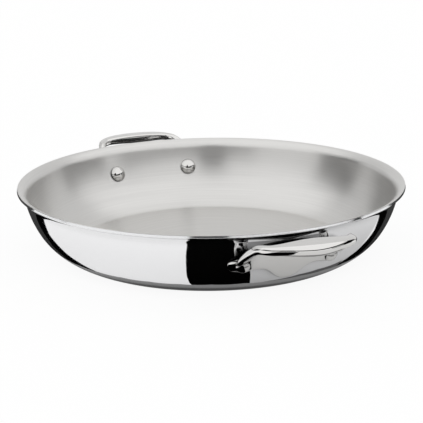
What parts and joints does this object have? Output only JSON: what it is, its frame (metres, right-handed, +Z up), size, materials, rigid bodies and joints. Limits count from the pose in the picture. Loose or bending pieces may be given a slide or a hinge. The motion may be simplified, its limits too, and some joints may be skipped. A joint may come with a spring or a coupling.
{
  "type": "serving pan",
  "caption": "Shallow round two-handled serving pan of clad stainless steel: mirror outside, brushed inside, flared pouring lip, cast bow handles riveted to the wall.",
  "frame": {"origin": "on the table, under the middle of the pan's flat base", "axes": "+Z up, +X through the middle of the front handle, +Y across the pan"},
  "size_m": [0.382, 0.3, 0.0547],
  "materials": {
    "brushed_interior": "stainless steel brushed in rings",
    "core": "plain rolled aluminium, seen only at the cut rim",
    "polished_exterior": "mirror-polished stainless steel",
    "cast_handle": "polished cast stainless steel",
    "rivet": "polished stainless steel"
  },
  "bodies": {
    "root": {"inner_steel_ply": "brushed_interior", "aluminium_core": "core", "outer_steel_ply": "polished_exterior", "front_handle": "cast_handle", "rear_handle": "cast_handle", "front_rivet_left": "rivet", "front_rivet_right": "rivet", "rear_rivet_left": "rivet", "rear_rivet_right": "rivet"}
  },
  "joints": []
}
